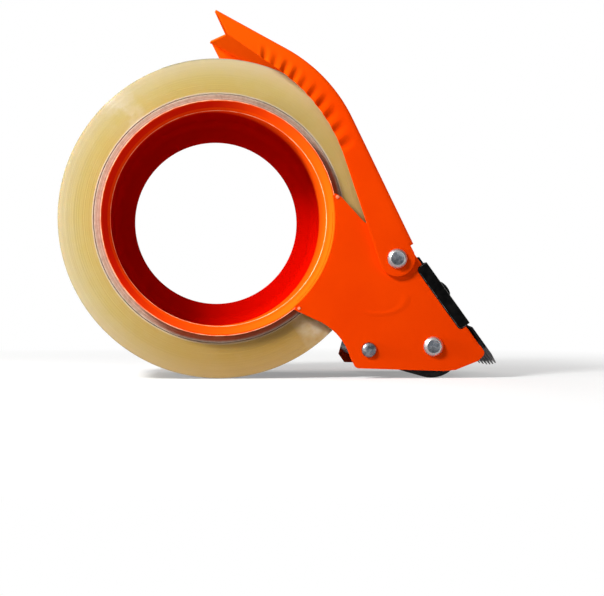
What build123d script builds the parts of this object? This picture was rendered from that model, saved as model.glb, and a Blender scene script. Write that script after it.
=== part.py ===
"""Hand-held packing-tape dispenser: a pressed-steel frame with a drum, a hinged hood, a blade and two rollers.

Frame: origin on the drum's axis at the middle of the tape's width, +X towards the blade, +Z up,
-Y on the side that the drum opens to. Millimetres.
"""

import os
from math import cos, hypot, radians, sin, sqrt

from build123d import *

# Tape roll on its cardboard core
tape_width = 48.0
tape_radius = 53.0
core_outer_radius = 41.1
core_inner_radius = 38.1
layer_gap = 0.02

# Folded frame sheet
frame_sheet = 1.2
frame_inner_half = 26.0
frame_outer_half = frame_inner_half + frame_sheet
bend_radius = 1.0
plate_corner = 1.6
far_plate_roll_clearance = 2.0
far_plate_left_points = ((47.5, -40.5), (45.8, -46.6), (48.3, -50.2))
plate_top_points = ((40.1, 7.35), (47.8, -1.0), (55.5, -5.6))
plate_bottom_points = ((86.3, -47.3), (78.6, -50.3), (74.5, -50.6), (45.2, -49.6))
throat_start, throat_middle, throat_end = (31.5, -33.35), (38.3, -37.7), (43.5, -46.3)
nose_x, heel_x, sole_z = 85.0, 46.0, -45.0

# Drum pressed from sheet
drum_sheet = 1.0
drum_inner_radius = 35.6
drum_depth = 32.0
drum_lip_radius = 38.9
drum_hole_radius = 28.2
floor_inner_round, floor_outer_round = 3.0, 4.0
lip_inner_round, lip_outer_round = 0.5, 1.5
weld_tab_inner_radius = 37.5
weld_tab_outer_radius = 44.5
plate_arc_gap = 0.04
plate_arc_start, plate_arc_end = -50.8, 12.5
weld_tab_low_setback, weld_tab_high_setback = 4.0, 9.0
weld_height, weld_ball_radius = 0.4, 1.5
weld_setback, weld_offset = 2.2, 0.7

# Slanted front of the frame: distance from the drum's axis and steepness, then places down the slope
front_distance = 45.75
front_slope = 54.1
front_top, front_tip = 45.1, 88.3
front_wall_top, front_wall_bottom = 47.2, 85.2
notch_top, notch_bottom, notch_depth = 51.7, 77.2, 2.7
notch_corner = 1.5
overcut = 2.0

# Blade, the clamp over it, and the clamp's two screws and nuts
blade_thickness = 0.8
blade_half_width = 25.9
blade_top, blade_tip = 49.2, 95.3
blade_step, blade_step_start, blade_step_end = 0.9, 77.4, 78.8
tooth_pitch, tooth_depth, edge_crown = 5.75, 3.2, 2.1
bevel_length, bevel_depth = 7.6, 0.5
clamp_sheet, clamp_gap = 0.8, 0.02
clamp_play = 0.25
clamp_corner = 1.4
clamp_wing_gap = 0.2
screw_place, screw_half_spacing = 63.6, 19.0
screw_radius, screw_head_radius, screw_head_height = 1.95, 3.2, 1.9
screw_head_round = 1.2
screw_slot_width, screw_slot_depth, screw_slot_turn = 0.9, 0.8, 70.0
screw_hole_radius = 2.1
screw_tail = 2.2
nut_across_flats, nut_height = 7.0, 3.2

# Pivot and axle centres in the side view
hood_pivot = (58.8, -13.2)
press_axle_centre = (71.1, -42.4)
guide_pin_centre = (49.5, -43.5)
running_gap = 0.07
fixed_gap = 0.02

# Hood: inverted channel over the top of the roll
hood_sheet = 0.8
hood_side_gap = 0.4
hood_inner_half = frame_outer_half + hood_side_gap
hood_outer_half = hood_inner_half + hood_sheet
hood_roll_gap = 0.35
hood_grip_angle, hood_leg_angle = 27.9, 63.9
hood_grip_distance = 59.8
hood_bend_radius = 51.0
hood_lug_radius = 6.0
hood_notch_depth = 5.5
hood_tip_x = -1.4
hood_strip_end_x = 64.35
hood_edge_round = 1.1
hood_end_step = 1.6 * hood_sheet
lug_right_angle, lug_low_angle, lug_left_angle = 20.0, -80.0, 195.0
flange_end, flange_arc_end, flange_arc_middle = (2.75, 60.2), (19.5, 48.9), (33.6, 35.2)
flange_knee, flange_foot = (41.3, 20.2), (48.35, -0.6)

# Rivets, washers, press roller and guide roller
pivot_rivet_radius, rivet_head_radius, rivet_head_height = 2.0, 3.3, 1.4
rivet_head_chamfer = 0.35
rivet_play = 0.05
washer_radius, washer_play = 4.4, 0.1
press_axle_radius = 2.5
press_tube_outer, press_tube_inner = 7.5, 6.0
press_tube_half, press_sleeve_half = 24.6, 24.0
press_bush_flange_radius, press_bush_flange, press_bush_depth = 7.2, 0.7, 8.0
guide_pin_radius, guide_head_radius, guide_head_height = 1.6, 2.55, 1.4
guide_head_round = 1.3
guide_roller_radius, guide_roller_half = 3.0, 25.3

out = "parts"
os.makedirs(out, exist_ok=True)


def save(builder, label):
    builder.part.label = label
    export_step(builder.part, f"{out}/{label}.step")


slope = radians(front_slope)
down_slope = (cos(slope), -sin(slope))
out_of_slope = (sin(slope), cos(slope))


def front(place, distance=front_distance):
    """Side-view point at a place down the slanted front and a distance from the drum's axis."""
    return (
        place * down_slope[0] + distance * out_of_slope[0],
        place * down_slope[1] + distance * out_of_slope[1],
    )


def side_plane(y):
    """Side-view sketch plane at one depth, facing -Y."""
    return Plane.XZ.offset(-y)


def front_plane(distance):
    """Plane on the slanted front: local x runs across the part, local y down the slope."""
    foot = front(0.0, distance)
    return Plane(
        origin=(foot[0], 0.0, foot[1]), x_dir=(0, -1, 0), z_dir=(out_of_slope[0], 0, out_of_slope[1])
    )


def on_circle(radius, angle):
    return (radius * cos(radians(angle)), radius * sin(radians(angle)))


# Frame: one sheet folded into a near plate, a slanted front wall and a short far plate
plate_arc_radius = drum_lip_radius + plate_arc_gap
arc_top = on_circle(plate_arc_radius, plate_arc_end)
arc_middle = on_circle(plate_arc_radius, (plate_arc_start + plate_arc_end) / 2)
arc_bottom = on_circle(plate_arc_radius, plate_arc_start)

with BuildSketch() as plate_outline:
    with BuildLine():
        Polyline(
            arc_top,
            *plate_top_points,
            front(front_top),
            front(front_tip),
            *plate_bottom_points,
            throat_end,
        )
        ThreePointArc(throat_end, throat_middle, throat_start)
        Line(throat_start, arc_bottom)
        ThreePointArc(arc_bottom, arc_middle, arc_top)
    make_face()
    corners = plate_outline.vertices()
    fillet([v for v in corners if v.X > nose_x or (v.X < heel_x and v.Y < sole_z)], plate_corner)

with BuildSketch() as notch_outline:
    with BuildLine():
        Polyline(
            front(notch_top, front_distance + overcut),
            front(notch_top, front_distance - notch_depth),
            front(notch_bottom, front_distance - notch_depth),
            front(notch_bottom, front_distance + overcut),
            close=True,
        )
    make_face()
    inner_corners = notch_outline.vertices().sort_by(Axis((0, 0, 0), (*out_of_slope, 0)))[:2]
    fillet(inner_corners, notch_corner)

wall_middle = (front_wall_top + front_wall_bottom) / 2
wall_length = front_wall_bottom - front_wall_top

with BuildPart() as frame:
    with BuildSketch(side_plane(-frame_inner_half)):
        add(plate_outline.sketch)
    extrude(amount=frame_sheet)
    with BuildSketch(side_plane(frame_outer_half)):
        add(plate_outline.sketch)
        Circle(tape_radius + far_plate_roll_clearance, mode=Mode.SUBTRACT)
        left_top, left_foot = far_plate_left_points[0], far_plate_left_points[-1]
        with BuildLine():
            Polyline(
                (left_top[0], tape_radius),
                *far_plate_left_points,
                (left_foot[0], -2 * tape_radius),
                (-tape_radius, -2 * tape_radius),
                (-tape_radius, tape_radius),
                close=True,
            )
        make_face(mode=Mode.SUBTRACT)
    extrude(amount=frame_sheet)
    with BuildSketch(front_plane(front_distance - frame_sheet)):
        with Locations((0, wall_middle)):
            Rectangle(2 * frame_outer_half, wall_length)
    extrude(amount=frame_sheet)
    wall_start = front(front_wall_top)
    fold_plane = Plane(
        origin=(wall_start[0], 0, wall_start[1]), x_dir=(0, 1, 0), z_dir=(down_slope[0], 0, down_slope[1])
    )
    fold_centre = frame_outer_half - bend_radius
    with BuildSketch(fold_plane):
        for side in (-1, 1):
            with Locations((side * (fold_centre + bend_radius), 0)):
                Rectangle(2 * bend_radius, 2 * bend_radius)
            with Locations((side * fold_centre, -bend_radius)):
                Circle(bend_radius, mode=Mode.SUBTRACT)
    extrude(amount=wall_length, mode=Mode.SUBTRACT)
    for side in (-1, 1):
        with BuildSketch(side_plane(side * (frame_outer_half + overcut) if side > 0 else -frame_inner_half)):
            add(notch_outline.sketch)
        extrude(amount=frame_sheet + overcut, mode=Mode.SUBTRACT)
    hole_list = (
        (hood_pivot, pivot_rivet_radius),
        (press_axle_centre, press_axle_radius),
        (guide_pin_centre, guide_pin_radius),
    )
    for centre, shaft_radius in hole_list:
        with BuildSketch(side_plane(0)):
            with Locations(centre):
                Circle(shaft_radius + fixed_gap)
        extrude(amount=2 * frame_outer_half, both=True, mode=Mode.SUBTRACT)
    with BuildSketch(front_plane(front_distance)):
        with Locations((-screw_half_spacing, screw_place), (screw_half_spacing, screw_place)):
            Circle(screw_hole_radius)
    extrude(amount=-2 * frame_sheet, mode=Mode.SUBTRACT)
save(frame, "frame")

# Drum: drawn cup with a flared lip, a finger hole in its floor and a tab welded behind the near plate
lip_y = -frame_outer_half
floor_y = lip_y + drum_depth
flare = drum_lip_radius - drum_inner_radius
flare_back = drum_sheet * sqrt(2)
drum_outer_radius = drum_inner_radius + drum_sheet

with BuildPart() as roll_drum:
    with BuildSketch(Plane.XY) as drum_profile:
        with BuildLine():
            Polyline(
                (drum_lip_radius, lip_y),
                (drum_inner_radius, lip_y + flare),
                (drum_inner_radius, floor_y - drum_sheet),
                (drum_hole_radius, floor_y - drum_sheet),
                (drum_hole_radius, floor_y),
                (drum_outer_radius, floor_y),
                (drum_outer_radius, lip_y + flare + flare_back - drum_sheet),
                (drum_lip_radius, lip_y + flare_back),
                close=True,
            )
        make_face()
        rounds = (
            (drum_inner_radius, floor_inner_round, lip_inner_round),
            (drum_outer_radius, floor_outer_round, lip_outer_round),
        )
        for wall, floor_round, lip_round in rounds:
            wall_ends = [v for v in drum_profile.vertices() if abs(v.X - wall) < 1e-3]
            fillet(max(wall_ends, key=lambda v: v.Y), floor_round)
            wall_ends = [v for v in drum_profile.vertices() if abs(v.X - wall) < 1e-3]
            fillet(min(wall_ends, key=lambda v: v.Y), lip_round)
    revolve(axis=Axis.Y)
    with BuildSketch(side_plane(-frame_inner_half)):
        Circle(weld_tab_outer_radius)
        Circle(weld_tab_inner_radius, mode=Mode.SUBTRACT)
        with BuildLine():
            far_out = 2 * weld_tab_outer_radius
            Polyline(
                (0, 0),
                on_circle(far_out, plate_arc_start + weld_tab_low_setback),
                on_circle(far_out, (plate_arc_start + plate_arc_end) / 2),
                on_circle(far_out, plate_arc_end - weld_tab_high_setback),
                close=True,
            )
        make_face(mode=Mode.INTERSECT)
    extrude(amount=-drum_sheet)
save(roll_drum, "roll_drum")

# Two weld beads where the near plate's corners meet the lip
with BuildPart() as drum_welds:
    bead_radius = (plate_arc_radius + drum_lip_radius) / 2 + weld_offset
    for angle in (plate_arc_start + weld_setback, plate_arc_end - weld_setback):
        x, z = on_circle(bead_radius, angle)
        with Locations((x, lip_y + weld_ball_radius - weld_height, z)):
            Sphere(weld_ball_radius)
    split(bisect_by=Plane.XZ.offset(-lip_y), keep=Keep.TOP)
save(drum_welds, "drum_welds")

# Blade: steel strip that steps out below the clamp, its lower edge crowned, toothed and ground thin on the inner face
tooth_count = int(2 * blade_half_width / tooth_pitch)
edge_start = -tooth_count * tooth_pitch / 2


def crowned_edge(x):
    return blade_tip - edge_crown * (x / blade_half_width) ** 2


edge_points = []
for tooth in range(tooth_count):
    left = edge_start + tooth * tooth_pitch
    edge_points.append((left, crowned_edge(left) - tooth_depth))
    edge_points.append((left + tooth_pitch / 2, crowned_edge(left + tooth_pitch / 2)))
edge_points.append((-edge_start, crowned_edge(edge_start) - tooth_depth))

blade_out = front_distance + blade_step

with BuildPart() as blade:
    with BuildSketch(side_plane(0)):
        with BuildLine():
            Polyline(
                front(blade_top),
                front(blade_step_start),
                front(blade_step_end, blade_out),
                front(blade_tip - bevel_length, blade_out),
                front(blade_tip, blade_out + bevel_depth),
                front(blade_tip, blade_out + blade_thickness),
                front(blade_step_end, blade_out + blade_thickness),
                front(blade_step_start, front_distance + blade_thickness),
                front(blade_top, front_distance + blade_thickness),
                close=True,
            )
        make_face()
    extrude(amount=blade_half_width, both=True)
    with BuildSketch(front_plane(front_distance - overcut)):
        with BuildLine():
            Polyline(
                (-blade_half_width, blade_top),
                (-blade_half_width, crowned_edge(blade_half_width) - tooth_depth),
                *edge_points,
                (blade_half_width, crowned_edge(blade_half_width) - tooth_depth),
                (blade_half_width, blade_top),
                close=True,
            )
        make_face()
        with Locations((-screw_half_spacing, screw_place), (screw_half_spacing, screw_place)):
            Circle(screw_hole_radius, mode=Mode.SUBTRACT)
    extrude(amount=blade_step + blade_thickness + 2 * overcut, mode=Mode.INTERSECT)
save(blade, "blade")

# Clamp: black pressed channel over the blade, its two wings seated in the plates' notches
clamp_seat = front_distance + blade_thickness + clamp_gap
clamp_top, clamp_bottom = notch_top + clamp_play, notch_bottom - clamp_play
wing_end = front_distance - notch_depth + clamp_play
wing_inner_half = blade_half_width + clamp_wing_gap

with BuildPart() as blade_clamp:
    with BuildSketch(side_plane(-frame_outer_half)) as wing_outline:
        with BuildLine():
            Polyline(
                front(clamp_top, wing_end),
                front(clamp_bottom, wing_end),
                front(clamp_bottom, clamp_seat + clamp_sheet),
                front(clamp_top, clamp_seat + clamp_sheet),
                close=True,
            )
        make_face()
        seat_corners = wing_outline.vertices().sort_by(Axis((0, 0, 0), (*out_of_slope, 0)))[:2]
        fillet(seat_corners, clamp_corner)
    extrude(amount=-2 * frame_outer_half)
    with BuildSketch(front_plane(clamp_seat)):
        with Locations((0, (clamp_top + clamp_bottom) / 2)):
            Rectangle(2 * wing_inner_half, 2 * (clamp_bottom - clamp_top))
    extrude(amount=-2 * notch_depth, mode=Mode.SUBTRACT)
    with BuildSketch(front_plane(clamp_seat + clamp_sheet)):
        with Locations((-screw_half_spacing, screw_place), (screw_half_spacing, screw_place)):
            Circle(screw_hole_radius)
    extrude(amount=-2 * clamp_sheet, mode=Mode.SUBTRACT)
save(blade_clamp, "blade_clamp")

# Two slotted pan-head screws through clamp, blade and front wall, with a nut each behind the wall
head_seat = clamp_seat + clamp_sheet
screw_spots = ((-screw_half_spacing, screw_place), (screw_half_spacing, screw_place))
wall_back = front_distance - frame_sheet
screw_length = head_seat - (wall_back - nut_height) + screw_tail

with BuildPart() as clamp_screws:
    with BuildSketch(front_plane(head_seat)):
        with Locations(*screw_spots):
            Circle(screw_head_radius)
    extrude(amount=screw_head_height)
    rims = clamp_screws.edges().filter_by(GeomType.CIRCLE)
    far_rims = rims.sort_by(Axis((0, 0, 0), (out_of_slope[0], 0, out_of_slope[1])))[-2:]
    fillet(far_rims, screw_head_round)
    with BuildSketch(front_plane(head_seat)):
        with Locations(*screw_spots):
            Circle(screw_radius)
    extrude(amount=-screw_length)
    with BuildSketch(front_plane(head_seat + screw_head_height)):
        with Locations(*screw_spots):
            Rectangle(3 * screw_head_radius, screw_slot_width, rotation=screw_slot_turn)
    extrude(amount=-screw_slot_depth, mode=Mode.SUBTRACT)
save(clamp_screws, "clamp_screws")

with BuildPart() as clamp_nuts:
    with BuildSketch(front_plane(wall_back)):
        with Locations(*screw_spots):
            RegularPolygon(nut_across_flats / 2, 6, major_radius=False)
            Circle(screw_radius + fixed_gap, mode=Mode.SUBTRACT)
    extrude(amount=-nut_height)
save(clamp_nuts, "clamp_nuts")

# Hood: strip bent over the roll with a side flange on each edge, swallow-tailed at the grip end
leg_out = (cos(radians(90 - hood_leg_angle)), sin(radians(90 - hood_leg_angle)))
grip_out = (sin(radians(hood_grip_angle)), cos(radians(hood_grip_angle)))
leg_distance = tape_radius + hood_roll_gap + hood_sheet


def on_grip(x, inset=0.0):
    return (x, (hood_grip_distance - inset - grip_out[0] * x) / grip_out[1])


def on_leg(x, inset=0.0):
    return (x, (leg_distance - inset - leg_out[0] * x) / leg_out[1])


def hood_corner(inset=0.0):
    """Where the grip's line and the leg's line cross, both moved inwards by the same amount."""
    a, b = hood_grip_distance - inset, leg_distance - inset
    det = grip_out[0] * leg_out[1] - grip_out[1] * leg_out[0]
    return ((a * leg_out[1] - grip_out[1] * b) / det, (grip_out[0] * b - a * leg_out[0]) / det)


def on_strip(point):
    """Whether a point lies on the strip's outer face: the grip's line, the bend or the leg's line."""
    grip = point.X * grip_out[0] + point.Z * grip_out[1] - hood_grip_distance
    leg = point.X * leg_out[0] + point.Z * leg_out[1] - leg_distance
    bend_centre = hood_corner(hood_bend_radius)
    bend = hypot(point.X - bend_centre[0], point.Z - bend_centre[1]) - hood_bend_radius
    return min(abs(grip), abs(leg), abs(bend)) < 1e-3


strip_tip = on_grip(hood_tip_x)
strip_end = on_leg(hood_strip_end_x)
strip_end_inner = (strip_end[0] - hood_end_step * leg_out[0], strip_end[1] - hood_end_step * leg_out[1])


def on_lug(angle):
    x, z = on_circle(hood_lug_radius, angle)
    return (hood_pivot[0] + x, hood_pivot[1] + z)


lug_right, lug_low, lug_left = on_lug(lug_right_angle), on_lug(lug_low_angle), on_lug(lug_left_angle)

with BuildPart() as hood:
    with BuildSketch(side_plane(hood_outer_half)):
        with BuildLine():
            FilletPolyline(strip_tip, hood_corner(), strip_end, radius=hood_bend_radius)
            Polyline(strip_end, strip_end_inner, lug_right)
            ThreePointArc(lug_right, lug_low, lug_left)
            Polyline(lug_left, flange_foot, flange_knee)
            ThreePointArc(flange_knee, flange_arc_middle, flange_arc_end)
            Polyline(flange_arc_end, flange_end, strip_tip)
        make_face()
    extrude(amount=2 * hood_outer_half)
    folds = [e for e in hood.edges() if abs(e.center().Y) > hood_inner_half and on_strip(e @ 0.5)]
    fillet(folds, hood_edge_round)
    below = 3 * tape_radius
    with BuildSketch(side_plane(hood_inner_half)):
        with BuildLine():
            start = on_grip(hood_tip_x - 2 * hood_notch_depth, hood_sheet)
            stop = on_leg(hood_strip_end_x - hood_sheet * leg_out[0], hood_sheet)
            past = (stop[0] + overcut * leg_out[0], stop[1] + overcut * leg_out[1])
            FilletPolyline(start, hood_corner(hood_sheet), stop, radius=hood_bend_radius - hood_sheet)
            Polyline(stop, past, (below, -below), (-below, -below), start)
        make_face()
    extrude(amount=2 * hood_inner_half, mode=Mode.SUBTRACT)
    grip_plane = Plane(
        origin=(strip_tip[0], 0, strip_tip[1]),
        x_dir=(0, -1, 0),
        z_dir=(grip_out[0], 0, grip_out[1]),
    )
    with BuildSketch(grip_plane):
        with BuildLine():
            Polyline(
                (-hood_outer_half, 0),
                (0, hood_notch_depth),
                (hood_outer_half, 0),
                (hood_outer_half, -overcut),
                (-hood_outer_half, -overcut),
                close=True,
            )
        make_face()
    extrude(amount=2 * hood_sheet, both=True, mode=Mode.SUBTRACT)
    with BuildSketch(side_plane(0)):
        with Locations(hood_pivot):
            Circle(pivot_rivet_radius + running_gap)
    extrude(amount=2 * hood_outer_half, both=True, mode=Mode.SUBTRACT)
save(hood, "hood")


def pin(centre, shaft_radius, y_start, y_end):
    """Adds a round shaft along Y between two depths to the part being built."""
    with BuildSketch(side_plane(y_end)) as section:
        with Locations(centre):
            Circle(shaft_radius)
    extrude(section.sketch, amount=y_end - y_start)


def flat_head(centre, seat_y, outward):
    """Adds a flat chamfered rivet head standing on a seat, towards -Y or +Y."""
    low, high = sorted((seat_y, seat_y + outward * rivet_head_height))
    with BuildSketch(side_plane(high)) as section:
        with Locations(centre):
            Circle(rivet_head_radius)
    extrude(section.sketch, amount=high - low)


# Hood pivot rivets, one through each side, with a thin washer between plate and hood
rivet_seat = hood_outer_half + rivet_play
with BuildPart() as pivot_rivets:
    for side in (-1, 1):
        inner_y, outer_y = side * frame_inner_half, side * rivet_seat
        pin(hood_pivot, pivot_rivet_radius, min(inner_y, outer_y), max(inner_y, outer_y))
        flat_head(hood_pivot, outer_y, side)
        flat_head(hood_pivot, inner_y, -side)
    outer_rims = [
        e for e in pivot_rivets.edges().filter_by(GeomType.CIRCLE)
        if abs(e.center().Y) > rivet_seat + 0.5 * rivet_head_height
    ]
    chamfer(outer_rims, rivet_head_chamfer)
save(pivot_rivets, "pivot_rivets")

with BuildPart() as pivot_washers:
    for side in (-1, 1):
        low, high = sorted((side * frame_outer_half, side * (hood_inner_half - washer_play)))
        with BuildSketch(side_plane(high)):
            with Locations(hood_pivot):
                Circle(washer_radius)
                Circle(pivot_rivet_radius + fixed_gap, mode=Mode.SUBTRACT)
        extrude(amount=high - low)
save(pivot_washers, "pivot_washers")

# Press roller: axle riveted across the frame, nylon bushes, steel tube and rubber sleeve
with BuildPart() as press_axle:
    pin(press_axle_centre, press_axle_radius, -frame_outer_half, frame_outer_half)
    for side in (-1, 1):
        flat_head(press_axle_centre, side * frame_outer_half, side)
    outer_rims = [
        e for e in press_axle.edges().filter_by(GeomType.CIRCLE)
        if abs(e.center().Y) > frame_outer_half + 0.5 * rivet_head_height
    ]
    chamfer(outer_rims, rivet_head_chamfer)
save(press_axle, "press_axle")


def ring(centre, outer_radius, inner_radius, y_start, y_end):
    """Adds a tube along Y to the part being built."""
    with BuildSketch(side_plane(y_end)) as section:
        with Locations(centre):
            Circle(outer_radius)
            Circle(inner_radius, mode=Mode.SUBTRACT)
    extrude(section.sketch, amount=y_end - y_start)


press_radius = tape_radius + press_axle_centre[1]
with BuildPart() as press_tube:
    ring(press_axle_centre, press_tube_outer, press_tube_inner, -press_tube_half, press_tube_half)
save(press_tube, "press_tube")

with BuildPart() as press_sleeve:
    ring(press_axle_centre, press_radius, press_tube_outer + layer_gap, -press_sleeve_half, press_sleeve_half)
save(press_sleeve, "press_sleeve")

with BuildPart() as press_bushes:
    bush_bore = press_axle_radius + running_gap
    for side in (-1, 1):
        low, high = sorted((side * press_tube_half, side * (press_tube_half - press_bush_depth)))
        ring(press_axle_centre, press_tube_inner - layer_gap, bush_bore, low, high)
        low, high = sorted((side * press_tube_half, side * (press_tube_half + press_bush_flange)))
        ring(press_axle_centre, press_bush_flange_radius, bush_bore, low, high)
save(press_bushes, "press_bushes")

# Guide roller: plain sleeve on a small round-headed pin
with BuildPart() as guide_pin:
    pin(guide_pin_centre, guide_pin_radius, -frame_outer_half, frame_outer_half)
    for side in (-1, 1):
        base = side * frame_outer_half
        low, high = sorted((base, base + side * guide_head_height))
        with BuildSketch(side_plane(high)):
            with Locations(guide_pin_centre):
                Circle(guide_head_radius)
        extrude(amount=high - low)
    outer_rims = [
        e for e in guide_pin.edges().filter_by(GeomType.CIRCLE)
        if abs(e.center().Y) > frame_outer_half + 0.5 * guide_head_height
    ]
    fillet(outer_rims, guide_head_round)
save(guide_pin, "guide_pin")

with BuildPart() as guide_roller:
    ring(
        guide_pin_centre,
        guide_roller_radius,
        guide_pin_radius + running_gap,
        -guide_roller_half,
        guide_roller_half,
    )
save(guide_roller, "guide_roller")

# Tape wound on its cardboard core
roll_centre = (0.0, 0.0)
with BuildPart() as tape_core:
    ring(roll_centre, core_outer_radius, core_inner_radius, -tape_width / 2, tape_width / 2)
save(tape_core, "tape_core")

with BuildPart() as tape_roll:
    ring(roll_centre, tape_radius, core_outer_radius + layer_gap, -tape_width / 2, tape_width / 2)
save(tape_roll, "tape_roll")
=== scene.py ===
# %% [markdown]
# # A hand-held packing-tape dispenser
# The real tool is a few steel pressings in orange enamel, a toothed blade under a black clamp, two rollers and a roll
# of clear tape on a cardboard core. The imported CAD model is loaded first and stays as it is: it fixes every size and
# says which body moves about which joint. Each cell below then dresses one piece of it. All lengths are in
# millimetres times MM, because Blender works in metres.

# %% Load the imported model
import random
from math import atan2, cos, degrees, pi, radians, sin, tan

import bmesh
import bpy
from mathutils import Matrix, Vector, noise


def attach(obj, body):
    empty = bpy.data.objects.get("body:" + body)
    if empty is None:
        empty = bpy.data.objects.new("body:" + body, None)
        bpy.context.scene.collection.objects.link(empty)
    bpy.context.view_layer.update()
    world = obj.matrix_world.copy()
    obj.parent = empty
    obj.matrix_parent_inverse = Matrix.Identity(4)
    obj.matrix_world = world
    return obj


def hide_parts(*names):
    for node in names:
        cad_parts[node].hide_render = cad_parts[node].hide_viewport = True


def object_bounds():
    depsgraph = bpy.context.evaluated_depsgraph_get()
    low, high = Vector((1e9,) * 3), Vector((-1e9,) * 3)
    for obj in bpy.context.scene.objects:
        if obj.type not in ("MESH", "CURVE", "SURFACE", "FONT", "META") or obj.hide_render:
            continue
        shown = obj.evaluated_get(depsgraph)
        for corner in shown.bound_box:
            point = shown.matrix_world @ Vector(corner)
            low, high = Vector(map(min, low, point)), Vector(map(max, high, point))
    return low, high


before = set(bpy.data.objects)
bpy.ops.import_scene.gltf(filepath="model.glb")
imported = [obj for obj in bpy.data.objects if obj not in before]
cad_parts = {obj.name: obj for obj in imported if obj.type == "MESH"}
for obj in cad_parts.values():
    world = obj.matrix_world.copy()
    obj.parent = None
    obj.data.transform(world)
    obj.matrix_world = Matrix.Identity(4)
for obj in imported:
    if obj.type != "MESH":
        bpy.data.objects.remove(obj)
cad_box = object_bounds()
MM = 0.001
scene = bpy.context.scene
scene.view_settings.view_transform = "Standard"
print("CAD box in mm:", [[round(v / MM, 1) for v in corner] for corner in cad_box])

# %% [markdown]
# ## Camera
# The photograph was taken from close by, a little left of the drum's axis and low down, so the far side of the roll
# and of the drum shifts to the left. The place, the turn and the lens were solved from three circles that must all
# fit: the tape's rim, the drum's lip and the hole in the drum's floor. A track quaternion then points the camera.

# %% Camera
camera_place = Vector((-16.84, -493.8, -28.62)) * MM
camera_yaw, camera_pitch = radians(5.391), radians(0.282)
looking = Vector((sin(camera_yaw) * cos(camera_pitch), cos(camera_yaw) * cos(camera_pitch), sin(camera_pitch)))

camera_data = bpy.data.cameras.new("camera")
camera_data.sensor_fit = "HORIZONTAL"
camera_data.sensor_width = 36.0
camera_data.lens = 84.64
camera = bpy.data.objects.new("camera", camera_data)
camera.location = camera_place
camera.rotation_euler = looking.to_track_quat("-Z", "Y").to_euler()
scene.collection.objects.link(camera)
scene.camera = camera
print("camera", [round(v / MM, 1) for v in camera_place], "mm, lens", camera_data.lens)

# %% [markdown]
# ## Wiring nodes
# Every finish is a small tree of nodes. Each node and link could be written out by hand, but that is long, so a small
# class holds one tree and makes its nodes: an input that is given another node's socket is linked to it, and any
# other value is set. The Geometry Nodes further down share it, because their maths nodes are the same.


# %% Wiring helper
class Wiring:
    """One node tree, with short calls for the nodes that this tool needs."""

    def __init__(self, tree):
        self.tree = tree

    def fill(self, sockets, inputs):
        for key, value in inputs.items():
            if isinstance(value, bpy.types.NodeSocket):
                self.tree.links.new(value, sockets[key])
            else:
                sockets[key].default_value = value

    def feed(self, sockets, **inputs):
        self.fill(sockets, {key.replace("_", " "): value for key, value in inputs.items()})

    def node(self, kind, inputs=None, **settings):
        """Adds a node, sets its properties, and fills or links its inputs."""
        made = self.tree.nodes.new(kind)
        for key, value in settings.items():
            setattr(made, key, value)
        self.fill(made.inputs, inputs or {})
        return made

    def out(self, kind, inputs=None, output=0, **settings):
        return self.node(kind, inputs, **settings).outputs[output]

    def math(self, operation, *values, clamp=False):
        return self.out("ShaderNodeMath", dict(enumerate(values)), operation=operation, use_clamp=clamp)

    def plus(self, first, second, clamp=False):
        return self.math("ADD", first, second, clamp=clamp)

    def minus(self, first, second):
        return self.math("SUBTRACT", first, second)

    def times(self, first, *others):
        for other in others:
            first = self.math("MULTIPLY", first, other)
        return first

    def span(self, value, start, end, low=0.0, high=1.0, **settings):
        """Carries a value from the range start to end over to the range low to high."""
        return self.out("ShaderNodeMapRange", {0: value, 1: start, 2: end, 3: low, 4: high}, **settings)

    def vector(self, operation, *values):
        output = "Value" if operation in ("DOT_PRODUCT", "LENGTH") else "Vector"
        return self.out("ShaderNodeVectorMath", dict(enumerate(values)), output, operation=operation)

    def place(self):
        return self.out("ShaderNodeTexCoord", output="Object")

    def parts(self, vector):
        return self.node("ShaderNodeSeparateXYZ", {0: vector}).outputs

    def off_axis(self):
        """A point's distance from the drum's axis."""
        return self.vector("LENGTH", self.vector("MULTIPLY", self.place(), (1, 0, 1)))

    def noise(self, place, scale, detail=2.0, roughness=0.5):
        inputs = {"Vector": place, "Scale": scale, "Detail": detail, "Roughness": roughness}
        return self.out("ShaderNodeTexNoise", inputs, "Fac")

    def mix(self, factor, first, second, **settings):
        return self.out("ShaderNodeMix", {0: factor, 6: first, 7: second}, 2, data_type="RGBA", **settings)

    def ramp(self, factor, stops):
        """Colour ramp through (position, colour or grey) stops."""
        made = self.node("ShaderNodeValToRGB", {"Fac": factor})
        elements = made.color_ramp.elements
        while len(elements) < len(stops):
            elements.new(0.5)
        for element, (position, colour) in zip(elements, stops):
            element.position = position
            element.color = colour if isinstance(colour, tuple) else (colour, colour, colour, 1)
        return made.outputs["Color"]

    def group(self, group, **inputs):
        made = self.node("ShaderNodeGroup", node_tree=group)
        self.feed(made.inputs, **inputs)
        return made.outputs

    def bump(self, height, depth):
        return self.out("ShaderNodeBump", {"Height": height, "Distance": depth * MM, "Strength": 1.0}, "Normal")


print("wiring helper ready")

# %% [markdown]
# ## Effects that several finishes share
# Edge wear, fine grain, dust and wound rings turn up on more than one material, so each is a node group made once. A
# group gives out only colours, masks and values. The wear group reads a face attribute called edge, which is 1 on the
# narrow rounded faces along a pressing's edges, and breaks it up with noise, so wear never runs as an even line. On
# the enamel and the zinc its pale colour is also a painted highlight along those faces.


# %% Group helper
def socket_kind(name, value):
    """Kind of a group's socket, from its first value, or from its name where it has none."""
    if value is None:
        return name if name in ("Color", "Geometry", "Material") else "Float"
    if isinstance(value, tuple):
        return "Color" if len(value) == 4 else "Vector"
    return type(value).__name__.capitalize()


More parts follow.
